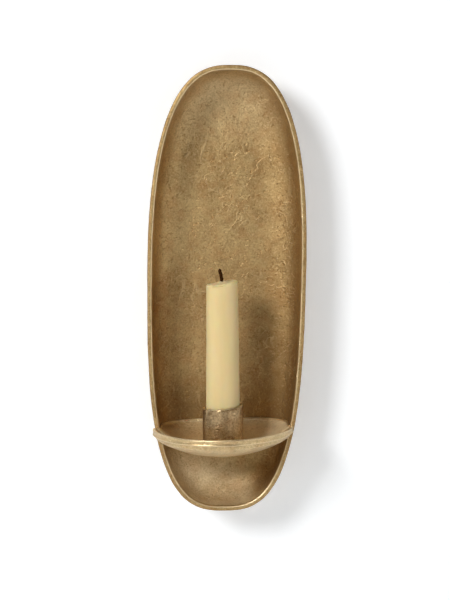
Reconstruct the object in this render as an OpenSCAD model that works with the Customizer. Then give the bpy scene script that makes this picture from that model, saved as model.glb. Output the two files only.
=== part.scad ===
// Wall sconce for one taper candle: a dished cast plate, a wax tray and a candle socket.
// X runs across the wall, +Y points into the wall and +Z points up. The wall's surface is Y = 0,
// and the origin is where the wall screw's shank sits in the hanger's slot.

/* [Back plate] */
// Height of the plate
plate_h = 300; // [280:5:320]
// Width of the plate
plate_w = 107; // [104:1:112]
// Squareness of the plate's outline, where 2 is an ellipse
outline_power = 2.9; // [2.7:0.1:3.2]
// Depth of the dish, from its lip to its floor
dish_depth = 29; // [27:1:32]
// Thickness of the cast wall
plate_wall = 3; // [3:0.5:4]
// Width of the lip's rounded face
lip_w = 3.4; // [3:0.2:4]
// Width of the rounded side between the lip and the flat floor
side_run = 30; // [27:1:32]
// Distance from the plate's top edge down to the wall screw
hang_drop = 50; // [45:1:60]
// Gap between the plate's back and the wall
standoff = 6.5; // [6.5:0.5:8]

/* [Wax tray] */
// Half of the tray's width
tray_r = 47.5; // [46:0.5:48]
// Distance from the plate's middle down to the tray's rim
tray_drop = 91.5; // [88:0.5:100]
// Height of the band round the tray's rim
band_h = 4.5; // [3:0.5:5]
// Thickness of the rim at the front
rim_t = 2.6; // [2:0.2:3]
// Depth of the tray inside
tray_depth = 12; // [11:0.5:13]
// Thickness of the tray's floor
tray_floor = 3.3; // [3:0.1:4]

/* [Socket] */
// Outside diameter of the candle socket
socket_od = 27; // [26.6:0.2:29]
// Inside diameter of the candle socket
socket_id = 23.6; // [23.4:0.1:24]
// Height of the candle socket
socket_h = 28.5; // [24:0.5:32]
// Thickness of the socket's floor
socket_floor = 3.5; // [3:0.5:5]

/* [Candle] */
// Diameter of the candle at its foot
candle_d = 23; // [20:0.1:23]
// Diameter of the candle at its top
candle_top_d = 21.6; // [19:0.1:22.8]
// Length of the candle
candle_h = 108; // [60:1:240]

/* [Hanger] */
// Width of the hanger strip
hanger_w = 54; // [50:1:60]
// Height of the hanger strip
hanger_h = 26; // [24:1:30]
// Thickness of the hanger strip
hanger_t = 1.5; // [1.2:0.1:1.5]
// Diameter of the round hole that passes the wall screw's head
key_head_d = 9; // [8.5:0.5:10]
// Width of the slot that holds the wall screw's shank
key_slot_w = 4.6; // [4.2:0.1:5]

/* [Hidden] */

// Finishes
brass = [0.66, 0.52, 0.32];
dark_brass = [0.52, 0.40, 0.24];
zinc = [0.72, 0.72, 0.70];
rubber = [0.10, 0.10, 0.10];
wax = [0.87, 0.78, 0.55];
char_black = [0.12, 0.09, 0.06];

// Planes of the dish, from the wall forwards
back_y = -standoff;
floor_y = back_y - plate_wall;
rim_y = floor_y - dish_depth;
plate_z = hang_drop - plate_h / 2;

// Rings of the plate
around = 96;
side_steps = 9;
lip_steps = 6;
lip_crown = 1.6;
outer_run = side_run + 1;

// The tray
tray_z = plate_z - tray_drop;
tray_y = rim_y - 9;
front_steps = 36;
front_power = 1.12;
front_share = 0.92;
rear_gap = 0.3;
rear_land = 1.3;
bowl_power = 3;
seat_share = 0.4;
band_step = 0.968;
bowl_steps = 7;
under_z = tray_z - tray_depth - tray_floor;
seat_z = tray_z - tray_depth;
edge_round = 0.8;

// Lugs and screws that hold the tray
lug_x = 13;
lug_z = tray_z - 13.5;
lug_r = 5.5;
lug_l = 8.4;
pad_t = 1.1;
pad_r = 7;
m4_r = 2;
m4_clear_r = 2.2;
screw_play = 0.03;
washer_t = 0.8;

// Bosses and screws that hold the hanger
boss_x = 20;
boss_r = 5;
hanger_z = -4.5;
key_drop = 9;
m3_r = 1.5;
m3_head_r = 2.9;

// Rubber bumpers
bumper_x = 9.5;
bumper_drop = 119;
bumper_r = 5;

// The candle and its wick
candle_play = 0.01;
candle_z = seat_z + socket_floor;
wick_r = 0.9;
wick_rise = 3;
wick_bend_r = 7;
wick_bend = 42;

$fn = 72;

// ---- Outlines ----

function power(v, p) = sign(v) * pow(abs(v), p);

// Half-width of the plate's outline, pulled in by an inset, at a height from the plate's middle
function outline_half(inset, z) =
    (plate_w / 2 - inset) * pow(1 - pow(abs(z) / (plate_h / 2 - inset), outline_power), 1 / outline_power);

// One ring of the plate: the outline pulled in by an inset, at one distance from the wall
function plate_ring(inset, y) = [
    for (i = [0:around - 1])
    let (t = 360 * i / around)
    [
        (plate_w / 2 - inset) * power(cos(t), 2 / outline_power),
        y,
        plate_z + (plate_h / 2 - inset) * power(sin(t), 2 / outline_power)
    ]
];

// Insets and distances of the plate's rings: up the outside, over the lip, down the inside
plate_profile = concat(
    [for (i = [0:side_steps])
        let (t = 90 - 90 * i / side_steps)
        [outer_run * (1 - cos(t)), rim_y + lip_crown + (plate_wall + dish_depth - lip_crown) * sqrt(sin(t))]],
    [for (i = [1:lip_steps - 1])
        let (t = 180 * i / lip_steps)
        [lip_w / 2 * (1 - cos(t)), rim_y + lip_crown * (1 - sin(t))]],
    [for (i = [0:side_steps])
        let (t = 90 * i / side_steps)
        [lip_w + side_run * (1 - cos(t)), rim_y + lip_crown + (dish_depth - lip_crown) * sqrt(sin(t))]]
);

// Insets and depths along the dish's inside with a gap: over half of the lip, then down the side
function dish_section(gap) = concat(
    [for (t = [0:30:90])
        [lip_w / 2 + (lip_w / 2 + gap) * sin(t), lip_crown - (lip_crown + gap) * cos(t)]],
    [for (t = [10:10:90])
        [lip_w + gap + side_run * (1 - cos(t)), lip_crown + (dish_depth - lip_crown - gap) * sqrt(sin(t))]]
);

// Plan of the tray at one height: a slightly shallow half circle in front, the dish's own section behind
function tray_plan(front_r, z, gap) =
    let (
        section = dish_section(gap),
        last = len(section) - 1,
        side = [for (p = section) [min(front_r, outline_half(p[0], z - plate_z)), rim_y + p[1]]]
    )
    concat(
        [for (i = [0:front_steps])
            let (t = 180 + 180 * i / front_steps)
            [front_r * cos(t), rim_y - gap - 0.01 + front_share * front_r * power(sin(t), front_power)]],
        side,
        [for (i = [last:-1:0]) [-side[i][0], side[i][1]]]
    );

// One ring of the tray: its plan at a share of its size
function tray_ring(share, front_r, z, gap) = [
    for (p = tray_plan(front_r, z, gap)) [share * p[0], tray_y + share * (p[1] - tray_y), z]
];

// Height of the bowl at a share of its radius, flat under the socket
function bowl_rise(share) =
    let (u = max(0, share - seat_share) / (1 - seat_share))
    pow(seat_share + (1 - seat_share) * u, bowl_power) - pow(seat_share, bowl_power);
function bowl_z(share, low, high) = low + (high - low) * bowl_rise(share) / bowl_rise(1);

tray_rings = concat(
    [for (i = [0:bowl_steps])
        let (share = seat_share + (band_step - seat_share) * i / bowl_steps)
        tray_ring(share, tray_r, bowl_z(share, under_z, tray_z - band_h), rear_gap)],
    [
        tray_ring(1, tray_r, tray_z - band_h + edge_round / 2, rear_gap),
        tray_ring(1, tray_r, tray_z - edge_round, rear_gap),
        tray_ring(1, tray_r - edge_round * 0.3, tray_z - edge_round * 0.3, rear_gap),
        tray_ring(1, tray_r - edge_round, tray_z, rear_gap + 0.1),
        tray_ring(1, tray_r - rim_t + edge_round / 2, tray_z, rear_gap + rear_land)
    ],
    [for (i = [bowl_steps:-1:0])
        let (share = seat_share + (1 - seat_share) * i / bowl_steps)
        tray_ring(share, tray_r - rim_t, bowl_z(share, seat_z, tray_z - edge_round / 2),
                  rear_gap + rear_land + 0.1)]
);

// A closed solid through rings of equally many points, capped at its first and last ring
module loft(rings) {
    n = len(rings[0]);
    m = len(rings);
    points = [for (r = rings) each r];
    side = [
        for (j = [0:m - 2], i = [0:n - 1])
        let (a = j * n + i, b = j * n + (i + 1) % n, c = a + n, d = b + n)
        each [[a, c, b], [b, c, d]]
    ];
    ends = [[for (i = [0:n - 1]) i], [for (i = [n - 1:-1:0]) (m - 1) * n + i]];
    polyhedron(points = points, faces = concat(side, ends), convexity = 10);
}

// A cylinder along +Y from a point
module bar_y(x, y, z, r, l) {
    translate([x, y, z]) rotate([-90, 0, 0]) cylinder(r = r, h = l);
}

// ---- Cast pieces ----

module back_plate() {
    color(brass)
    difference() {
        union() {
            loft([for (p = plate_profile) plate_ring(p[0], p[1])]);
            for (side = [-1, 1])
                bar_y(side * boss_x, back_y - plate_wall / 2, hanger_z, boss_r,
                      plate_wall / 2 + standoff - hanger_t);
            for (side = [-1, 1])
                bar_y(side * lug_x, floor_y - pad_t, lug_z, pad_r, pad_t + plate_wall / 2);
        }
        for (side = [-1, 1]) {
            bar_y(side * boss_x, -hanger_t - 5.6, hanger_z, m3_r + screw_play, 6);
            bar_y(side * lug_x, floor_y - pad_t - 1, lug_z, m4_clear_r, pad_t + plate_wall + 2);
        }
    }
}

// A lug under the tray's rear edge, with a flat end against a pad on the dish's floor
module tray_lug(x) {
    end = floor_y - pad_t;
    bar_y(x, end - lug_l, lug_z, lug_r, lug_l);
    translate([x - lug_r, end - lug_l, lug_z]) cube([2 * lug_r, lug_l, 6]);
}

module wax_tray() {
    color(brass)
    difference() {
        union() {
            loft(tray_rings);
            for (side = [-1, 1]) tray_lug(side * lug_x);
        }
        translate([0, tray_y, under_z - 1]) cylinder(r = 2.7, h = tray_floor + 2);
        for (side = [-1, 1])
            bar_y(side * lug_x, floor_y - 7.6, lug_z, m4_r + screw_play, 8);
    }
}

module candle_socket() {
    outer = socket_od / 2;
    inner = socket_id / 2;
    lead = 0.5;
    color(dark_brass)
    translate([0, tray_y, seat_z])
    difference() {
        rotate_extrude()
        polygon([
            [0, 0], [outer - lead, 0], [outer, lead], [outer, socket_h - lead],
            [outer - lead, socket_h], [inner + lead, socket_h], [inner, socket_h - lead],
            [inner, socket_floor], [0, socket_floor]
        ]);
        translate([0, 0, -1]) cylinder(r = 2.5 + screw_play, h = socket_floor + 2);
    }
}

// ---- Fasteners ----

// A pan-head screw along +Z, its head below Z = 0, with a driver slot
module pan_screw(shank_r, length, head_r, head_t) {
    slot_w = head_r * 0.26;
    difference() {
        rotate_extrude()
        polygon([
            [0, -head_t], [head_r * 0.72, -head_t], [head_r * 0.94, -head_t * 0.72],
            [head_r, -head_t * 0.4], [head_r, 0], [shank_r, 0],
            [shank_r, length - 0.5], [shank_r - 0.5, length], [0, length]
        ]);
        translate([-head_r - 1, -slot_w / 2, -head_t - 1]) cube([2 * head_r + 2, slot_w, 1 + head_t * 0.45]);
    }
}

module washer(outer_r, inner_r) {
    difference() {
        cylinder(r = outer_r, h = washer_t);
        translate([0, 0, -1]) cylinder(r = inner_r, h = washer_t + 2);
    }
}

// The screw from below stops just under the candle, inside the socket's floor
module socket_screw() {
    color(zinc)
    translate([0, tray_y, under_z - washer_t])
        pan_screw(2.5, washer_t + tray_floor + socket_floor - 0.4, 4.6, 2.6);
}

module socket_washer() {
    color(zinc)
    translate([0, tray_y, under_z - washer_t]) washer(6, 2.7);
}

module tray_screw(side) {
    color(zinc)
    translate([side * lug_x, back_y + washer_t, lug_z])
        rotate([90, 0, 0]) pan_screw(m4_r, 10, 3.8, 2.4);
}

module tray_washer(side) {
    color(zinc)
    translate([side * lug_x, back_y + washer_t, lug_z])
        rotate([90, 0, 0]) washer(4.5, m4_clear_r);
}

// A countersunk screw whose flat head lies in the hanger's rear face
module hanger_screw(side) {
    sink = m3_head_r - m3_r;
    color(zinc)
    translate([side * boss_x, -0.05, hanger_z])
        rotate([90, 0, 0])
        difference() {
            rotate_extrude()
            polygon([
                [0, 0], [m3_head_r, 0], [m3_r, sink], [m3_r, 5.9], [m3_r - 0.4, 6.3], [0, 6.3]
            ]);
            translate([-m3_head_r - 1, -0.4, -1]) cube([2 * m3_head_r + 2, 0.8, 1.7]);
        }
}

// ---- Hanger and bumpers ----

// Outline of the keyhole: a round hole below, a slot up to the screw's seat above
module keyhole() {
    translate([0, -key_drop]) circle(d = key_head_d);
    circle(d = key_slot_w);
    translate([-key_slot_w / 2, -key_drop]) square([key_slot_w, key_drop]);
}

module hanger_plate() {
    corner = 5;
    sink = m3_head_r - m3_r;
    color(zinc)
    difference() {
        rotate([90, 0, 0]) linear_extrude(hanger_t)
        difference() {
            translate([0, hanger_z]) {
                square([hanger_w - 2 * corner, hanger_h], center = true);
                square([hanger_w, hanger_h - 2 * corner], center = true);
                for (x = [-1, 1], z = [-1, 1])
                    translate([x * (hanger_w / 2 - corner), z * (hanger_h / 2 - corner)])
                        circle(r = corner);
            }
            keyhole();
        }
        for (side = [-1, 1])
            translate([side * boss_x, 0.05, hanger_z]) rotate([90, 0, 0]) {
                cylinder(r1 = m3_head_r + 0.15, r2 = m3_r + 0.15, h = sink);
                cylinder(r = m3_r + 0.15, h = hanger_t + 1);
            }
    }
}

module bumper(side) {
    soft = 0.8;
    color(rubber)
    translate([side * bumper_x, back_y, plate_z - bumper_drop])
        rotate([-90, 0, 0])
        rotate_extrude()
        polygon(concat(
            [[0, 0], [bumper_r, 0]],
            [for (t = [0:15:90]) [bumper_r - soft + soft * cos(t), standoff - soft + soft * sin(t)]],
            [[0, standoff]]
        ));
}

// ---- Candle ----

module candle() {
    foot = 0.6;
    top = 1.2;
    r = candle_d / 2;
    top_r = candle_top_d / 2;
    color(wax)
    translate([0, tray_y, candle_z + candle_play])
    difference() {
        rotate_extrude()
        polygon([
            [0, 0], [r - foot, 0], [r, foot], [top_r, candle_h - top],
            [top_r - top, candle_h], [top_r * 0.6, candle_h - 0.5], [0, candle_h - 1]
        ]);
        translate([0, 0, -1]) cylinder(r = wick_r, h = candle_h + 2);
    }
}

// The wick runs the candle's whole length and bends over at its burnt end
module wick() {
    straight = candle_h + wick_rise;
    color(char_black)
    translate([0, tray_y, candle_z + candle_play]) {
        cylinder(r = wick_r - 0.005, h = straight);
        translate([-wick_bend_r, 0, straight])
            rotate([90, 0, 0])
            rotate_extrude(angle = wick_bend)
            translate([wick_bend_r, 0]) circle(r = wick_r - 0.005);
    }
}

back_plate();
wax_tray();
candle_socket();
socket_screw();
socket_washer();
tray_screw(-1);  // tray_screw_left
tray_screw(1);  // tray_screw_right
tray_washer(-1);  // tray_washer_left
tray_washer(1);  // tray_washer_right
hanger_plate();
hanger_screw(-1);  // hanger_screw_left
hanger_screw(1);  // hanger_screw_right
bumper(-1);  // bumper_left
bumper(1);  // bumper_right
candle();
wick();
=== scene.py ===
"""The looks of a cast-brass wall sconce with a taper candle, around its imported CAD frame."""

import math

import bpy
import numpy as np
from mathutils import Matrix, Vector, noise


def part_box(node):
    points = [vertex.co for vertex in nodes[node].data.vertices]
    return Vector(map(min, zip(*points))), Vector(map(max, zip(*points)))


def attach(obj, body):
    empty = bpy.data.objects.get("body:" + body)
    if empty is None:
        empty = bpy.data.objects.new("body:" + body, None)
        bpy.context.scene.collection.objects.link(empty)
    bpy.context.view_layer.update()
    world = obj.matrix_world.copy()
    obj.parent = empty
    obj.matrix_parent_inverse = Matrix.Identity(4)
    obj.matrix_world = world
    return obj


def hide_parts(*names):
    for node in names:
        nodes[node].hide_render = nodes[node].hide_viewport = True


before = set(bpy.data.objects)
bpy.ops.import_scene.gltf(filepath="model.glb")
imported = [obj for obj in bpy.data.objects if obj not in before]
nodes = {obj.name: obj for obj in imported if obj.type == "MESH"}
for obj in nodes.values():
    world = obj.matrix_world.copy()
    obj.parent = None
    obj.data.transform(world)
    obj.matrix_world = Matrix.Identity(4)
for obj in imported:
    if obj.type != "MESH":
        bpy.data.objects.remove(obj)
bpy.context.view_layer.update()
MM = 0.001
HOLDER = "holder"
CANDLE = "candle_body"

# ---- Sizes, in metres, from the CAD nodes' boxes and from the part's own design ----

plate_lo, plate_hi = (np.array(v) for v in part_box("back_plate"))
tray_hi = np.array(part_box("wax_tray")[1])
socket_lo, socket_hi = (np.array(v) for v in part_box("candle_socket"))
candle_lo, candle_hi = (np.array(v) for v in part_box("candle"))


def middle_z(node):
    return (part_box(node)[0][2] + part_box(node)[1][2]) / 2


HALF_W = (plate_hi[0] - plate_lo[0]) / 2
HALF_H = (plate_hi[2] - plate_lo[2]) / 2
MID_Z = (plate_hi[2] + plate_lo[2]) / 2
POWER_TOP = 2.62
POWER_LOW = 2.86
RIM_Y = plate_lo[1]
DISH = 29 * MM
WALL = 3 * MM
FLOOR_Y = RIM_Y + DISH
BACK_Y = FLOOR_Y + WALL
LIP = 3.4 * MM
CROWN = 1.6 * MM
LIP_POWER = 0.72
SIDE_RUN = 30 * MM
OUTER_RUN = 31 * MM
LUG_X = 13 * MM
LUG_Z = middle_z("tray_washer_left")
PAD_T = 1.1 * MM
BOSS_X = 20 * MM
BOSS_Z = middle_z("hanger_screw_left")
BOSS_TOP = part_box("hanger_plate")[0][1]
BOSS_R = 5 * MM
BOSS_FILLET = 1.2 * MM

TRAY_TOP = tray_hi[2]
TRAY_R = tray_hi[0]
AXIS_Y = (socket_lo[1] + socket_hi[1]) / 2
SEAT_Z = socket_lo[2]
UNDER_Z = SEAT_Z - 3.3 * MM
BAND = 4.5 * MM
RIM_T = 2.6 * MM
SEAT_SHARE = 0.4
FRONT_SHARE = 0.92
FRONT_POWER = 1.12
BORE_R = 11.75 * MM
CANDLE_TOP_R = 10.5 * MM

# A hand-made casting: it leans to the right, bows, and is narrower at its lower end, and its tray isn't level
LEAN = 0.0152
LEAN_X = 0.9 * MM
BOW = 0.5 * MM
MEAN_WIDTH = 0.991
NARROW = 0.026
TRAY_TILT = math.tan(math.radians(1.3))
CANDLE_LEAN = 0.007
RIM_SLOPE = 1.35 * MM
RIM_DROP = 0.5 * MM


def lean(z):
    return LEAN_X + LEAN * (z - TRAY_TOP) + BOW * ((z - MID_Z) / HALF_H) ** 2


def width_scale(z):
    return MEAN_WIDTH + NARROW * (z - MID_Z) / HALF_H


# ---- Mesh helpers ----

def make_object(name, verts, faces, smooth=True):
    mesh = bpy.data.meshes.new(name)
    mesh.from_pydata([tuple(map(float, v)) for v in verts], [], faces)
    mesh.update()
    mesh.polygons.foreach_set("use_smooth", [smooth] * len(mesh.polygons))
    obj = bpy.data.objects.new(name, mesh)
    bpy.context.scene.collection.objects.link(obj)
    return obj


class Section:
    """The rings of one shell, in order, each with a value for polish and painted light: 1 polishes the metal
    and paints highlights, -1 darkens it as dull metal and painted shade.
    """

    def __init__(self):
        self.rings = []
        self.wear_and_painted_light = []

    def add(self, ring, wear_and_light=0.0):
        self.rings.append(ring)
        self.wear_and_painted_light.append(wear_and_light)


class Builder:
    """Collects shells made of rings, then turns them into one object."""

    def __init__(self):
        self.verts = []
        self.faces = []
        self.wear_and_painted_light = []

    def rings(self, rings, start_pole, end_pole, wear_and_painted_light=None):
        """Adds a closed shell through the rings, from pole to pole, with one value of polish and painted
        light for each ring.
        """
        base = len(self.verts)
        n = len(rings[0])
        for j, ring in enumerate(rings):
            self.verts.extend(ring)
            self.wear_and_painted_light.extend([wear_and_painted_light[j] if wear_and_painted_light else 0.0] * n)
        for j in range(len(rings) - 1):
            a, b = base + j * n, base + (j + 1) * n
            for i in range(n):
                k = (i + 1) % n
                self.faces.append((a + i, a + k, b + k, b + i))
        last = base + (len(rings) - 1) * n
        pole = len(self.verts)
        self.verts.extend((start_pole, end_pole))
        self.wear_and_painted_light.extend((0.0, 0.0))
        self.faces.extend((pole, base + (i + 1) % n, base + i) for i in range(n))
        self.faces.extend((pole + 1, last + i, last + (i + 1) % n) for i in range(n))

    def object(self, name, painted_light=None):
        """Makes the object. The painted light, from 0 to 1, is for the first vertices; the rest have none."""
        obj = make_object(name, self.verts, self.faces)
        mesh = obj.data
        if mesh_volume(mesh) < 0:
            mesh.flip_normals()
        mesh.attributes.new("wear_and_painted_light", "FLOAT", "POINT").data.foreach_set("value", self.wear_and_painted_light)
        if painted_light is not None:
            painted_light = painted_light + [0.0] * (len(self.verts) - len(painted_light))
            mesh.attributes.new("painted_light", "FLOAT", "POINT").data.foreach_set("value", painted_light)
        return obj


def mesh_volume(mesh):
    total = 0.0
    co = [v.co for v in mesh.vertices]
    for p in mesh.polygons:
        v = p.vertices
        for i in range(1, len(v) - 1):
            total += co[v[0]].dot(co[v[i]].cross(co[v[i + 1]]))
    return total


def displace(obj, amount):
    """Moves each vertex along its normal by amount(position, normal), in metres."""
    mesh = obj.data
    moved = [v.co + v.normal * amount(v.co, v.normal) for v in mesh.vertices]
    for v, co in zip(mesh.vertices, moved):
        v.co = co
    mesh.update()


def wobble(p, size, seed):
    """Smooth noise between about -1 and 1, with bumps of roughly this size in metres."""
    return noise.noise(Vector((p.x / size + seed, p.y / size - seed, p.z / size + 2.3 * seed)))


def power_at(height):
    """The power of the plate's superellipse, whose upper half is a little rounder than its lower."""
    return np.where(height > 0, POWER_TOP, POWER_LOW)


def edge_point(t):
    p = 2 / power_at(np.sin(t))
    return np.sign(np.cos(t)) * np.abs(np.cos(t)) ** p, np.sign(np.sin(t)) * np.abs(np.sin(t)) ** p


def even_angles(a, b, count):
    """Parameters of the outline whose points are spread evenly round it."""
    t = np.linspace(0, 2 * math.pi, 24001)
    x, z = edge_point(t)
    x, z = a * x, b * z
    run = np.concatenate([[0], np.cumsum(np.hypot(np.diff(x), np.diff(z)))])
    return np.interp(np.linspace(0, run[-1], count, endpoint=False), run, t)


# ---- The dished plate ----

ANGLES = even_angles(HALF_W - 8 * MM, HALF_H - 8 * MM, 400)
EDGE_X, EDGE_Z = edge_point(ANGLES)


def plate_ring(inset, y, share=1.0):
    z = MID_Z + share * (HALF_H - inset) * EDGE_Z
    x = share * (HALF_W - inset) * EDGE_X * width_scale(z) + lean(z)
    return [(x[i], y, z[i]) for i in range(len(x))]


def quarter(count):
    return np.linspace(0, math.pi / 2, count)


def cylinder_rings(x, z, profile):
    """Rings round a Y axis through (x, z), from pairs of radius and y."""
    turn = np.linspace(0, 2 * math.pi, 48, endpoint=False)
    return [[(x + r * math.cos(t), y, z + r * math.sin(t)) for t in turn] for r, y in profile]


def side_curve(t, inset, run, depth):
    """A point down a side of the dish: its inset from the outline, and its y."""
    return inset + run * (1 - math.cos(t)), RIM_Y + CROWN + (depth - CROWN) * math.sqrt(math.sin(t))


def ramp(value):
    return min(1.0, max(0.0, value))


def paint_plate_light_and_shade(b, first):
    """Paints shade into the dish's inside: darker just above the tray, and on the right, most of all below
    the tray.

    Returns the painted light of each vertex, which makes it matt and paler and is most at the two ends.
    """
    shade_height = 42 * MM
    painted_light = [0.0] * len(b.verts)
    for i, (x, y, z) in enumerate(b.verts):
        if i >= first and y > RIM_Y + 3 * MM:
            above = (z - TRAY_TOP) / shade_height
            shade_above_tray = 0.6 * max(0.0, 1 - above) ** 1.3 if above > -0.1 else 0.0
            right = ramp((x - 16 * MM) / (16 * MM))
            right_shade = 0.42 if above > 0 else 0.75
            # Painted shade: darker just above the tray, and on the right, most of all below the tray
            b.wear_and_painted_light[i] -= shade_above_tray + right_shade * right * (0.8 + 0.8 * wobble(Vector((x, y, z)), 40 * MM, 11))
            # Painted light: paler and matt at the lower end, less so on the right, and at the top end
            low_end = ramp((TRAY_TOP - 24 * MM - 0.35 * x - z) / (20 * MM))
            high_end = ramp((z - plate_hi[2] + 60 * MM) / (45 * MM))
            painted_light[i] = 0.62 * low_end * (1 - 0.6 * right) + 0.25 * high_end
    return painted_light


def build_plate():
    section = Section()
    for share in np.linspace(0.03, 0.97, 36):
        section.add(plate_ring(OUTER_RUN, BACK_Y, share))
    for t in quarter(40)[::-1]:
        section.add(plate_ring(*side_curve(t, 0, OUTER_RUN, WALL + DISH)), -0.3)
    for t in np.linspace(0, math.pi, 29)[1:-1]:
        inset = LIP / 2 * (1 - math.copysign(abs(math.cos(t)) ** LIP_POWER, math.cos(t)))
        # The lip's inner edge is polished and also paints its highlight; its outer part is darkened as
        # painted shade
        polished_edge_highlight = 0.85 * math.exp(-((inset - 0.84 * LIP) / (0.12 * LIP)) ** 2)
        painted_lip_shade = 0.45 * max(0.0, 1 - inset / (0.6 * LIP))
        y = RIM_Y + CROWN * (1 - math.sin(t) ** LIP_POWER)
        section.add(plate_ring(inset, y), polished_edge_highlight - painted_lip_shade)
    inside_from = len(section.rings) * len(ANGLES)
    for f in np.linspace(0, 1, 60) ** 1.5:
        section.add(plate_ring(*side_curve(f * math.pi / 2, LIP, SIDE_RUN, DISH)))
    for share in np.linspace(0.985, 0.03, 64):
        section.add(plate_ring(LIP + SIDE_RUN, FLOOR_Y, share))
    b = Builder()
    b.rings(section.rings, (lean(MID_Z), BACK_Y, MID_Z), (lean(MID_Z), FLOOR_Y, MID_Z), section.wear_and_painted_light)
    painted_light = paint_plate_light_and_shade(b, inside_from)
    boss = [(BOSS_R + BOSS_FILLET, BACK_Y - 1 * MM)]
    boss += [(BOSS_R + BOSS_FILLET * (1 - math.sin(t)), BACK_Y + BOSS_FILLET * (1 - math.cos(t)))
             for t in quarter(8)]
    boss += [(BOSS_R, BOSS_TOP - 0.3 * MM), (BOSS_R - 0.3 * MM, BOSS_TOP)]
    pad = [(8 * MM, FLOOR_Y + 0.5 * MM), (7.2 * MM, FLOOR_Y - 0.3 * MM), (7 * MM, FLOOR_Y - PAD_T + 0.2 * MM),
           (6.8 * MM, FLOOR_Y - PAD_T)]
    for x, z, profile in ((BOSS_X, BOSS_Z, boss), (LUG_X, LUG_Z, pad)):
        for side in (-1, 1):
            poles = ((side * x, profile[0][1], z), (side * x, profile[-1][1], z))
            b.rings(cylinder_rings(side * x, z, profile), *poles)
    plate = b.object("plate_casting", painted_light)

    def cast(p, n):
        inside = n.y < -0.25 and p.y < BACK_Y - 1 * MM
        dents = 0.34 * wobble(p, 16 * MM, 3) + 0.30 * wobble(p, 38 * MM, 9) + 0.10 * wobble(p, 6 * MM, 5)
        lip = 0.22 * wobble(p, 9 * MM, 1) + 0.16 * wobble(p, 26 * MM, 7)
        near_lip = max(0.0, 1 - (p.y - RIM_Y) / (3 * MM))
        body = dents * (1.0 if inside else 0.55)
        if p.y > BACK_Y - 0.5 * MM:
            body *= 0.2
        return MM * (near_lip * lip + (1 - near_lip) * body)

    displace(plate, cast)
    return plate


# ---- The wax tray ----

def outline_half(inset, z):
    reach = np.clip(np.abs(z - MID_Z) / (HALF_H - inset), 0, 0.9999)
    power = power_at(z - MID_Z)
    return (HALF_W - inset) * (1 - reach ** power) ** (1 / power) * width_scale(z)


def dish_section(gap):
    """Insets and depths along the dish's inside: over half of the lip, then down the side."""
    lip = [(LIP / 2 + (LIP / 2 + gap) * math.sin(t), CROWN - (CROWN + gap) * math.cos(t)) for t in quarter(7)]
    side = [(LIP + gap + SIDE_RUN * (1 - math.cos(t)), CROWN + (DISH - CROWN - gap) * math.sqrt(math.sin(t)))
            for t in quarter(19)[1:]]
    return lip + side


def tray_ring(share, front_r, z, gap):
    """The tray's plan at one height: a slightly flat half circle in front, the dish's own section behind."""
    points = []
    shift = lean(z)
    for i in range(121):
        t = math.pi + math.pi * i / 120
        y = RIM_Y - gap - FRONT_SHARE * front_r * abs(math.sin(t)) ** FRONT_POWER
        points.append((front_r * math.cos(t), y))
    side = [(min(front_r, outline_half(s, z)), RIM_Y + d) for s, d in dish_section(gap)]
    behind = [(side[-1][0] * f, side[-1][1]) for f in np.linspace(1, -1, 42)[1:-1]]
    rear = side + behind + [(-x, y) for x, y in side[::-1]]
    points += [(x + shift, y) for x, y in rear]
    return [(share * x, AXIS_Y + share * (y - AXIS_Y), z + TRAY_TILT * share * x) for x, y in points]


def bowl_z(share, low, high):
    rise = (max(share, SEAT_SHARE) ** 3 - SEAT_SHARE ** 3) / (1 - SEAT_SHARE ** 3)
    return low + (high - low) * rise


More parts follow.
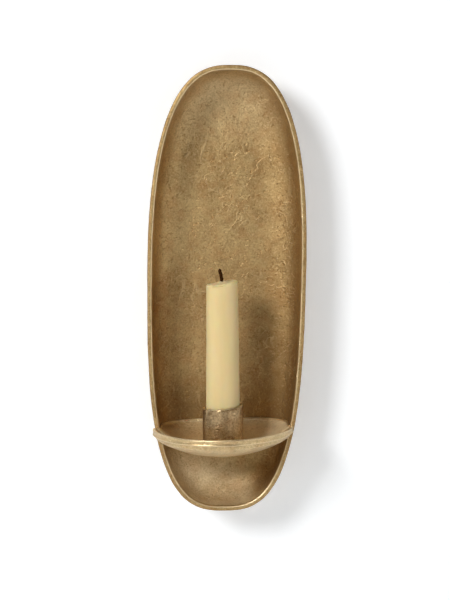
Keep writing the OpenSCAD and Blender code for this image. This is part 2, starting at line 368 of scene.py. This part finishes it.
def build_tray():
    gap = 0.12 * MM
    inner_gap = 1.3 * MM
    band_low = TRAY_TOP - BAND
    section = Section()
    # Painted highlight: a lighter, shinier ring round the lower bowl
    for share in np.linspace(0.05, 0.955, 44):
        z = bowl_z(share, UNDER_Z, band_low - 0.5 * MM)
        section.add(tray_ring(share, TRAY_R, z, gap), 0.35 * max(0.0, 1 - abs(share - 0.72) / 0.15))
    section.add(tray_ring(0.958, TRAY_R, band_low - 0.1 * MM, gap))
    section.add(tray_ring(0.968, TRAY_R, band_low + 0.1 * MM, gap))
    # The band's lower arris is polished, and also paints its highlight line
    for t in quarter(6):
        z = band_low + 0.1 * MM + 0.6 * MM * (1 - math.cos(t))
        section.add(tray_ring(1, TRAY_R - 0.7 * MM * (1 - math.sin(t)), z, gap), 0.6 * math.sin(t))
    for k in range(1, 8):
        hollow = 0.35 * MM * math.sin(math.pi * k / 8)
        z = band_low + 0.7 * MM + (BAND - 1.7 * MM) * k / 8
        section.add(tray_ring(1, TRAY_R - hollow, z, gap), -0.08)
    # The rolled top edge and the rim's inner edge are polished, and also paint the rim's highlights
    for t in quarter(9)[::-1]:
        z = TRAY_TOP - 1.0 * MM + 1.0 * MM * math.cos(t)
        section.add(tray_ring(1, TRAY_R - 1.0 * MM * (1 - math.sin(t)), z, gap), 0.15 + 0.4 * math.cos(t))
    for t in quarter(7):
        front_r = TRAY_R - RIM_T + 0.8 * MM * (1 - math.sin(t))
        z = TRAY_TOP - 0.8 * MM * (1 - math.cos(t))
        section.add(tray_ring(1, front_r, z, inner_gap - 0.5 * MM * (1 - math.sin(t))), 0.6 * math.cos(t))
    inside_from = len(section.rings) * len(section.rings[0])
    for share in np.linspace(0.995, 0.05, 44):
        z = bowl_z(share, SEAT_Z, TRAY_TOP - 1.0 * MM)
        section.add(tray_ring(share, TRAY_R - RIM_T, z, inner_gap), 0.1)
    b = Builder()
    b.rings(section.rings, (0, AXIS_Y, UNDER_Z), (0, AXIS_Y, SEAT_Z), section.wear_and_painted_light)
    # Painted light: the tray's inside is paler and matt, more so towards its right side
    painted_light = [0.0] * inside_from
    painted_light += [0.38 + 0.30 * min(1.0, max(-1.0, v[0] / (30 * MM))) for v in b.verts[inside_from:]]
    half = 5.5 * MM
    outline = [(half * math.cos(t), half * math.sin(t)) for t in np.linspace(math.pi, 2 * math.pi, 25)]
    outline += [(half, half), (-half, half)]
    steps = [(0.8, FLOOR_Y - 9.5 * MM), (0.95, FLOOR_Y - 9.3 * MM), (1, FLOOR_Y - 8.7 * MM),
             (1, FLOOR_Y - PAD_T)]
    for side in (-1, 1):
        lug = [[(side * LUG_X + f * u, y, LUG_Z + f * w) for u, w in outline] for f, y in steps]
        b.rings(lug, (side * LUG_X, FLOOR_Y - 9.5 * MM, LUG_Z), (side * LUG_X, FLOOR_Y - PAD_T, LUG_Z))
    tray = b.object("tray_casting", painted_light)

    def cast(p, n):
        top = TRAY_TOP + TRAY_TILT * p.x
        flat = 0.3 if p.y > FLOOR_Y - 1 * MM else 1.0
        rim = 1.0 if p.z > top - 5 * MM else 0.0
        dents = 0.16 * wobble(p, 13 * MM, 2) + 0.06 * wobble(p, 5 * MM, 8)
        dents += 0.12 * rim * wobble(p, 22 * MM, 4)
        from_axis = math.hypot(p.x, p.y - AXIS_Y)
        if from_axis < 8 * MM or from_axis < 15 * MM and p.z > SEAT_Z - 1 * MM:
            dents = 0.0
        return MM * flat * dents

    displace(tray, cast)
    return tray


# ---- The candle socket ----

def upright_rings(profile, count, height_at):
    """Rings round the candle's upright axis, from pairs of radius and z.

    height_at(r, z, turn) is the z of one point.
    """
    turn = np.linspace(0, 2 * math.pi, count, endpoint=False)
    return [[(r * math.cos(t), AXIS_Y + r * math.sin(t), height_at(r, z, t)) for t in turn]
            for r, z in profile]


def build_socket():
    outer = (socket_hi[0] - socket_lo[0]) / 2
    inner = BORE_R
    low, high = SEAT_Z, socket_hi[2]
    height = high - low
    profile = [(outer - 0.4 * MM, low)]
    profile += [(outer + 0.1 * MM * math.sin(math.pi * f), low + 0.4 * MM + (height - 1.2 * MM) * f)
                for f in np.linspace(0, 1, 40)]
    profile += [(outer - 0.6 * MM * (1 - math.sin(t)), high - 0.8 * MM + 0.8 * MM * math.cos(t))
                for t in quarter(6)[::-1]]
    profile += [(inner + 0.45 * MM * (1 - math.sin(t)), high - 0.45 * MM * (1 - math.cos(t)))
                for t in quarter(6)]
    profile += [(inner, high - 0.45 * MM - (height - 4.2 * MM) * f) for f in np.linspace(0.04, 1, 16)]

    def height_at(r, z, t):
        up = max(0.0, (z - low) / height)
        slope = RIM_SLOPE * math.cos(t) - RIM_DROP
        p = Vector((math.cos(t), math.sin(t), 0.0))
        ragged = 0.55 * MM * noise.noise(p * 2.1 + Vector((4.0, 0.0, 1.0))) + 0.22 * MM * noise.noise(p * 6.5)
        return z + up ** 4 * (slope + ragged)

    b = Builder()
    b.rings(upright_rings(profile, 200, height_at), (0, AXIS_Y, low), (0, AXIS_Y, low + 3.5 * MM))
    # A light edge along the sloping rim, and dark pits just below it
    for i, (x, y, z) in enumerate(b.verts):
        r = math.hypot(x, y - AXIS_Y)
        if r > inner + 0.3 * MM:
            drop = (high - z + RIM_SLOPE * x / r - RIM_DROP) / MM
            pit = max(0.0, 2.4 * wobble(Vector((x, y, z)), 4 * MM, 21) - 0.3)
            pit *= max(0.0, 1 - abs(drop - 2.6) / 2.6)
            b.wear_and_painted_light[i] = 0.5 * max(0.0, 1 - abs(drop) / 0.8) - min(1.0, pit)
    socket = b.object("socket_casting")

    def cast(p, n):
        r = math.hypot(p.x, p.y - AXIS_Y)
        if r < inner + 0.3 * MM or p.z < low + 0.3 * MM:
            return 0.0
        top = max(0.0, 1 - (high - p.z) / (7 * MM))
        return MM * (0.12 * wobble(p, 8 * MM, 6) + (0.06 + 0.16 * top) * wobble(p, 2.6 * MM, 2))

    displace(socket, cast)
    return socket


# ---- The candle and its wick ----

def tip_left(obj):
    """Bends a piece to the left above the socket, as a taper set in by hand stands."""
    for v in obj.data.vertices:
        v.co.x -= CANDLE_LEAN * max(0.0, v.co.z - socket_hi[2])
    obj.data.update()


def build_candle():
    foot_r = (candle_hi[0] - candle_lo[0]) / 2
    top_r = CANDLE_TOP_R
    low, high = candle_lo[2], candle_hi[2]
    height = high - low
    profile = [(foot_r - 0.6 * MM, low), (foot_r - 0.2 * MM, low + 0.2 * MM), (foot_r, low + 0.7 * MM)]
    for f in np.linspace(0.02, 1, 90):
        profile.append((foot_r + (top_r - foot_r) * f ** 0.8, low + (height - 1.6 * MM) * f))
    profile += [(top_r - 0.9 * MM * (1 - math.sin(t)), high - 1.6 * MM + 0.9 * MM * math.cos(t))
                for t in quarter(7)[::-1]]
    # A raised rim, then a mound of wax round the wick
    profile += [(top_r * f, high - 0.95 * MM + 0.5 * MM * math.exp(-((f - 0.9) / 0.07) ** 2))
                for f in np.linspace(0.90, 0.42, 13)]
    profile += [(top_r * f, high - 0.6 * MM + 1.0 * MM * math.cos(math.pi / 2 * f / 0.42) ** 1.5)
                for f in np.linspace(0.36, 0.06, 9)]

    def height_at(r, z, t):
        up = max(0.0, (z - low) / height)
        top = up ** 30
        p = Vector((math.cos(t), math.sin(t), 0.0))
        slope = 1.9 * MM * math.cos(t) * min(1.0, r / top_r)
        drip = 0.5 * MM * noise.noise(p * 1.7 + Vector((2.0, 5.0, 0.0)))
        drip += 0.42 * MM * noise.noise(p * 5.0 + Vector((0, 0, 3.0)))
        drip += 0.25 * MM * noise.noise(p * 11.0)
        return z + top * (slope - 0.1 * MM + drip)

    b = Builder()
    b.rings(upright_rings(profile, 160, height_at), (0, AXIS_Y, low), (0, AXIS_Y, high + 0.3 * MM))
    candle = b.object("wax_candle")

    def soften(p, n):
        if p.z < socket_hi[2] + 1 * MM:
            return 0.0
        q = Vector((p.x, p.y, p.z * 0.35))
        return MM * (0.16 * wobble(q, 9 * MM, 4) + 0.05 * wobble(p, 3.5 * MM, 1))

    displace(candle, soften)
    tip_left(candle)
    return candle


def build_wick():
    r = 1.08 * MM
    start = candle_hi[2] - 3 * MM
    b = Builder()
    path = []
    for f in np.linspace(0, 1, 26):
        bend = max(0.0, f - 0.25) / 0.75
        path.append(Vector((-1.6 * MM * bend ** 1.7 - 0.15 * MM, AXIS_Y, start + 11.3 * MM * f)))
    rings = []
    turn = np.linspace(0, 2 * math.pi, 24, endpoint=False)
    ends = [1.0] * (len(path) - 3) + [0.92, 0.75, 0.45]
    for i, (p, end) in enumerate(zip(path, ends)):
        ahead = path[min(i + 1, len(path) - 1)] - path[max(i - 1, 0)]
        ahead.normalize()
        side = ahead.cross(Vector((0, 1, 0))).normalized()
        other = ahead.cross(side)
        ring = []
        for t in turn:
            twist = 1 + 0.10 * math.cos(3 * t + i * 0.9)
            q = p + (side * math.cos(t) + other * math.sin(t)) * r * end * twist
            ring.append(tuple(q))
        rings.append(ring)
    b.rings(rings, tuple(path[0]), tuple(path[-1] + Vector((-0.1 * MM, 0, 0.2 * MM))))
    wick = b.object("burnt_wick")
    displace(wick, lambda p, n: 0.08 * MM * wobble(p, 1.1 * MM, 3))
    tip_left(wick)
    return wick


# ---- Materials ----

class Nodes:
    """A short way to write a material's nodes."""

    def __init__(self, name):
        self.mat = bpy.data.materials.new(name)
        self.mat.use_nodes = True
        self.tree = self.mat.node_tree
        self.tree.nodes.clear()
        self.out = self.tree.nodes.new("ShaderNodeOutputMaterial")
        self.shader = self.tree.nodes.new("ShaderNodeBsdfPrincipled")
        self.link(self.shader.outputs[0], self.out.inputs["Surface"])
        self.where = self.tree.nodes.new("ShaderNodeTexCoord").outputs["Object"]

    def link(self, a, b):
        self.tree.links.new(a, b)

    def put(self, socket, value):
        if hasattr(value, "is_output"):
            self.link(value, socket)
        else:
            socket.default_value = value

    def noise(self, size, detail, rough, stretch=None, warp=0.0):
        n = self.tree.nodes.new("ShaderNodeTexNoise")
        n.inputs["Scale"].default_value = 1 / size
        n.inputs["Detail"].default_value = detail
        n.inputs["Roughness"].default_value = rough
        n.inputs["Distortion"].default_value = warp
        where = self.where
        if stretch:
            m = self.tree.nodes.new("ShaderNodeMapping")
            m.inputs["Scale"].default_value = stretch
            self.link(where, m.inputs["Vector"])
            where = m.outputs["Vector"]
        self.link(where, n.inputs["Vector"])
        return n.outputs["Fac"]

    def attribute(self, name):
        n = self.tree.nodes.new("ShaderNodeAttribute")
        n.attribute_name = name
        return n.outputs["Fac"]

    def math(self, op, a, b=0.0, clamp=False):
        n = self.tree.nodes.new("ShaderNodeMath")
        n.operation = op
        n.use_clamp = clamp
        self.put(n.inputs[0], a)
        self.put(n.inputs[1], b)
        return n.outputs[0]

    def range(self, value, lo, hi, to_lo=0.0, to_hi=1.0):
        n = self.tree.nodes.new("ShaderNodeMapRange")
        self.put(n.inputs["Value"], value)
        for key, v in (("From Min", lo), ("From Max", hi), ("To Min", to_lo), ("To Max", to_hi)):
            n.inputs[key].default_value = v
        return n.outputs["Result"]

    def mix(self, fac, a, b):
        n = self.tree.nodes.new("ShaderNodeMix")
        n.data_type = "RGBA"
        self.put(n.inputs["Factor"], fac)
        for socket, v in ((n.inputs[6], a), (n.inputs[7], b)):
            self.put(socket, v if hasattr(v, "is_output") else (*v, 1.0))
        return n.outputs[2]

    def bump(self, height, strength, distance, normal=None):
        n = self.tree.nodes.new("ShaderNodeBump")
        n.inputs["Strength"].default_value = strength
        n.inputs["Distance"].default_value = distance
        self.put(n.inputs["Height"], height)
        if normal is not None:
            self.link(normal, n.inputs["Normal"])
        return n.outputs["Normal"]

    def set(self, **values):
        for key, value in values.items():
            socket = self.shader.inputs[key.replace("_", " ")]
            if isinstance(value, tuple) and len(value) == 3 and socket.type == "RGBA":
                value = (*value, 1.0)
            self.put(socket, value)
        return self.mat


# The colour of polished edges, which also paints the highlights on the lip and on the tray
POLISH_AND_HIGHLIGHT_BRASS = (0.92, 0.76, 0.48)


def antique_brass(name, light, dark, roughness, patina, metal, grain=1.0, patch=34 * MM, creased=1.0,
                  has_painted_light=False):
    """Cast brass: a sandy grain with pits and bright specks, a few creases, and patina in the low places.

    One attribute polishes the metal and paints highlights where it is positive, and darkens it, as dull metal
    and as painted shade, where it is negative; another paints light, making the metal matt and paler.
    """
    m = Nodes(name)
    sand = m.noise(1.15 * MM, 3.0, 0.6)
    pits = m.noise(2.3 * MM, 3.0, 0.6, warp=0.4)
    specks = m.noise(1.7 * MM, 2.0, 0.5, warp=0.3)
    dents = m.noise(9 * MM, 2.0, 0.5)
    cloud = m.noise(patch, 4.0, 0.6, warp=1.0)
    crease = m.math("ABSOLUTE", m.math("SUBTRACT", m.noise(30 * MM, 3.0, 0.55, warp=1.6), 0.5))
    crease = m.range(crease, 0.0, 0.016, 1.0, 0.0)
    crease = m.math("MULTIPLY", crease, m.range(cloud, 0.46, 0.58, 0.0, creased))
    wear_and_light = m.attribute("wear_and_painted_light")
    pitted = m.range(pits, 0.43, 0.33)
    low = m.math("ADD", m.range(sand, 0.64, 0.36, 0.0, 0.75), m.math("MULTIPLY", pitted, 0.38))
    stain = m.math("ADD", m.range(cloud, 0.36, 0.66, 0.0, 0.7), low)
    stain = m.math("MULTIPLY", stain, patina, clamp=True)
    if has_painted_light:
        # Painted light: paler colours and less metal where it is painted
        painted_light = m.attribute("painted_light")
        colour = m.mix(stain, m.mix(painted_light, light, (1.0, 0.85, 0.56)), m.mix(painted_light, dark, (0.62, 0.44, 0.22)))
        metal = m.range(painted_light, 0.0, 1.0, metal, 0.1)
    else:
        colour = m.mix(stain, light, dark)
    reddish = tuple(c * k for c, k in zip(dark, (1.6, 1.15, 0.9)))
    colour = m.mix(m.math("MULTIPLY", m.range(dents, 0.45, 0.7), 0.22), colour, reddish)
    # Negative values darken towards the dark colour: dull metal, pits, and painted shade in the dish
    colour = m.mix(m.range(wear_and_light, 0.0, -1.0), colour, dark)
    bright = tuple(min(1.0, 1.1 * c + 0.09) for c in light)
    speckled = m.math("MULTIPLY", m.range(specks, 0.58, 0.70), 0.30)
    lifted = m.math("ADD", speckled, m.math("MULTIPLY", crease, 0.40))
    colour = m.mix(m.math("MINIMUM", lifted, 1.0), colour, bright)
    # Positive values lighten towards polished brass: polished edges, and painted highlights
    colour = m.mix(wear_and_light, colour, POLISH_AND_HIGHLIGHT_BRASS)
    shine = m.range(sand, 0.3, 0.7, roughness - 0.06, roughness + 0.08)
    polish = m.math("MAXIMUM", wear_and_light, 0.0)
    shine = m.math("SUBTRACT", shine, m.math("MULTIPLY", polish, 0.6 * (roughness - 0.24)))
    height = m.math("ADD", m.math("MULTIPLY", sand, 0.5), m.math("MULTIPLY", pitted, -0.6))
    height = m.math("ADD", height, m.math("MULTIPLY", crease, 0.5))
    normal = m.bump(dents, 0.45, 0.7 * MM)
    normal = m.bump(height, 0.7 * grain, 0.42 * MM, normal)
    return m.set(Base_Color=colour, Roughness=shine, Normal=normal, Metallic=metal)


def wax_material():
    m = Nodes("ivory_wax")
    streak = m.noise(9 * MM, 3.0, 0.5, stretch=(1, 1, 0.15))
    fine = m.noise(1.4 * MM, 3.0, 0.5)
    colour = m.mix(m.range(streak, 0.3, 0.7), (0.78, 0.61, 0.30), (0.83, 0.665, 0.345))
    normal = m.bump(streak, 0.25, 0.6 * MM)
    normal = m.bump(fine, 0.15, 0.15 * MM, normal)
    m.shader.subsurface_method = "RANDOM_WALK"
    return m.set(Base_Color=colour, Roughness=m.range(fine, 0.3, 0.7, 0.40, 0.52), Normal=normal,
                 Subsurface_Weight=0.55, Subsurface_Radius=(1.0, 0.55, 0.22), Subsurface_Scale=11 * MM,
                 IOR=1.44)


def wick_material():
    m = Nodes("burnt_cotton")
    fibre = m.noise(0.5 * MM, 3.0, 0.6, stretch=(1, 1, 0.3))
    colour = m.mix(m.range(fibre, 0.35, 0.65), (0.022, 0.008, 0.002), (0.055, 0.022, 0.006))
    return m.set(Base_Color=colour, Roughness=0.95, Specular_IOR_Level=0.0,
                 Normal=m.bump(fibre, 0.8, 0.2 * MM))


def plated_steel(name, colour, roughness):
    m = Nodes(name)
    lines = m.noise(1.2 * MM, 4.0, 0.6, stretch=(0.12, 1, 1))
    spots = m.noise(6 * MM, 3.0, 0.5)
    tint = m.mix(m.range(spots, 0.35, 0.65), colour, tuple(0.8 * c for c in colour))
    shine = m.range(lines, 0.3, 0.7, roughness - 0.08, roughness + 0.08)
    return m.set(Base_Color=tint, Roughness=shine, Normal=m.bump(lines, 0.3, 0.08 * MM), Metallic=1.0)


def rubber_material():
    m = Nodes("bumper_rubber")
    fine = m.noise(0.8 * MM, 4.0, 0.6)
    colour = m.mix(m.range(fine, 0.3, 0.7), (0.012, 0.012, 0.012), (0.03, 0.03, 0.03))
    return m.set(Base_Color=colour, Roughness=m.range(fine, 0.3, 0.7, 0.6, 0.8),
                 Normal=m.bump(fine, 0.4, 0.1 * MM))


def paint(obj, mat):
    obj.data.materials.clear()
    obj.data.materials.append(mat)


def repaint_node(name, mat):
    obj = nodes[name]
    if not obj.material_slots:
        obj.data.materials.append(mat)
    for s in obj.material_slots:
        s.material = mat


# ---- Build the pieces ----

plate = build_plate()
tray = build_tray()
socket = build_socket()
candle = build_candle()
wick = build_wick()

paint(plate, antique_brass("plate_brass", (0.66, 0.47, 0.215), (0.30, 0.175, 0.062),
                           roughness=0.50, patina=0.62, metal=0.88, has_painted_light=True))
paint(tray, antique_brass("tray_brass", (0.85, 0.655, 0.36), (0.42, 0.27, 0.115),
                          roughness=0.37, patina=0.50, metal=0.86, grain=0.6, patch=13 * MM, has_painted_light=True))
paint(socket, antique_brass("socket_brass", (0.70, 0.515, 0.285), (0.26, 0.155, 0.065),
                            roughness=0.36, patina=0.68, metal=0.94, patch=12 * MM, creased=0.0))
paint(candle, wax_material())
paint(wick, wick_material())

for piece, node, body, slot in (
    (plate, "back_plate", HOLDER, "dark_cast"),
    (tray, "wax_tray", HOLDER, "cast_brass"),
    (socket, "candle_socket", HOLDER, "cast_brass"),
    (candle, "candle", CANDLE, "wax"),
    (wick, "wick", CANDLE, "wick_cord"),
):
    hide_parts(node)
    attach(piece, body)

# The socket's screw would show below the bowl, so it is brass coloured
zinc = plated_steel("zinc_plate", (0.62, 0.62, 0.58), 0.34)
sheet_steel = plated_steel("hanger_sheet", (0.50, 0.48, 0.44), 0.42)
rubber = rubber_material()
for name in nodes:
    if "screw" in name or "washer" in name:
        repaint_node(name, zinc)
brass_plated = plated_steel("brass_plate", (0.60, 0.45, 0.23), 0.46)
repaint_node("socket_screw", brass_plated)
repaint_node("socket_washer", brass_plated)
repaint_node("hanger_plate", sheet_steel)
repaint_node("bumper_left", rubber)
repaint_node("bumper_right", rubber)

# ---- The wall, the floor, the lights and the camera ----

def stage_material(name, colour, glow, one_sided):
    """Matt paint that glows to the camera only. One-sided paint is clear from behind and casts no shadow."""
    m = Nodes(name)
    grain = m.noise(60 * MM, 3.0, 0.5)
    mat = m.set(Base_Color=m.mix(grain, colour, tuple(0.99 * c for c in colour)), Roughness=0.9,
                Specular_IOR_Level=0.1)
    path = m.tree.nodes.new("ShaderNodeLightPath")
    seen = m.math("MULTIPLY", path.outputs["Is Camera Ray"], glow)
    m.set(Emission_Color=(1.0, 1.0, 1.0), Emission_Strength=seen)
    if one_sided:
        side = m.tree.nodes.new("ShaderNodeNewGeometry")
        clear = m.tree.nodes.new("ShaderNodeBsdfTransparent")
        pick = m.tree.nodes.new("ShaderNodeMixShader")
        m.link(m.math("MAXIMUM", side.outputs["Backfacing"], path.outputs["Is Shadow Ray"]), pick.inputs[0])
        m.link(m.shader.outputs[0], pick.inputs[1])
        m.link(clear.outputs[0], pick.inputs[2])
        m.link(pick.outputs[0], m.out.inputs["Surface"])
    return mat


FLOOR_Z = plate_lo[2] - 160 * MM
WALL_Y = 0.4 * MM
wall_corners = [(-2, WALL_Y, FLOOR_Z), (2, WALL_Y, FLOOR_Z), (2, WALL_Y, 1.6), (-2, WALL_Y, 1.6)]
floor_corners = [(-3, -3, FLOOR_Z), (3, -3, FLOOR_Z), (3, 3, FLOOR_Z), (-3, 3, FLOOR_Z)]
wall = make_object("wall", wall_corners, [(0, 1, 2, 3)], False)
floor = make_object("floor", floor_corners, [(0, 1, 2, 3)], False)
paint(wall, stage_material("wall_paint", (0.91, 0.93, 0.95), 0.26, True))
paint(floor, stage_material("floor_paint", (0.86, 0.86, 0.85), 0.45, False))

CENTRE = Vector((0, RIM_Y, MID_Z))


def area_light(name, azimuth, elevation, distance, size, power):
    """A round softbox that looks at the plate's middle. Azimuth is in degrees from the front to the right."""
    a, e = math.radians(azimuth), math.radians(elevation)
    away = Vector((math.sin(a) * math.cos(e), -math.cos(a) * math.cos(e), math.sin(e)))
    data = bpy.data.lights.new(name, "AREA")
    data.shape = "DISK"
    data.size = size
    data.energy = power
    obj = bpy.data.objects.new(name, data)
    obj.location = CENTRE + away * distance
    obj.rotation_euler = (-away).to_track_quat("-Z", "Y").to_euler()
    bpy.context.scene.collection.objects.link(obj)


area_light("key", azimuth=-35, elevation=25, distance=1.8, size=0.6, power=20.5)
area_light("fill", azimuth=48, elevation=12, distance=1.8, size=1.1, power=2.8)
area_light("side", azimuth=70, elevation=8, distance=1.8, size=1.0, power=2.7)
area_light("low", azimuth=38, elevation=-4, distance=1.8, size=0.5, power=1.0)
area_light("top", azimuth=-8, elevation=58, distance=1.7, size=0.9, power=2.4)
area_light("rear", azimuth=190, elevation=26, distance=2.4, size=1.6, power=24)

# The backdrop is pale to the camera and gives almost no light, so the lamps light the object
BACKDROP = 0.78
AMBIENT = 0.01
world = bpy.data.worlds.new("studio")
world.use_nodes = True
backdrop = world.node_tree.nodes["Background"]
seen = world.node_tree.nodes.new("ShaderNodeLightPath").outputs["Is Camera Ray"]
strength = world.node_tree.nodes.new("ShaderNodeMath")
strength.operation = "MULTIPLY_ADD"
world.node_tree.links.new(seen, strength.inputs[0])
strength.inputs[1].default_value = BACKDROP
strength.inputs[2].default_value = AMBIENT
world.node_tree.links.new(strength.outputs[0], backdrop.inputs["Strength"])
backdrop.inputs["Color"].default_value = (1.0, 1.0, 1.0, 1.0)
bpy.context.scene.world = world
bpy.context.scene.view_settings.view_transform = "Standard"

# In millimetres on the sensor. The plate's middle sits a little right of and above the frame's middle.
SENSOR = 36.0
FOCAL = 89.04
OFF_RIGHT = 0.12
OFF_UP = 0.48
ELEVATION = math.radians(6.7)
DISTANCE = 0.991
cam_data = bpy.data.cameras.new("camera")
cam_data.sensor_fit = "AUTO"
cam_data.sensor_width = SENSOR
cam_data.lens = FOCAL
camera = bpy.data.objects.new("camera", cam_data)
bpy.context.scene.collection.objects.link(camera)
look = Vector((lean(MID_Z) + 0.4 * MM, RIM_Y, MID_Z))
camera.location = look + Vector((0, -math.cos(ELEVATION), math.sin(ELEVATION))) * DISTANCE
pitch = math.pi / 2 - ELEVATION - math.atan(OFF_UP / FOCAL)
yaw = math.atan(OFF_RIGHT / FOCAL)
camera.rotation_euler = (pitch, 0, yaw)
bpy.context.scene.camera = camera

bpy.context.view_layer.update()
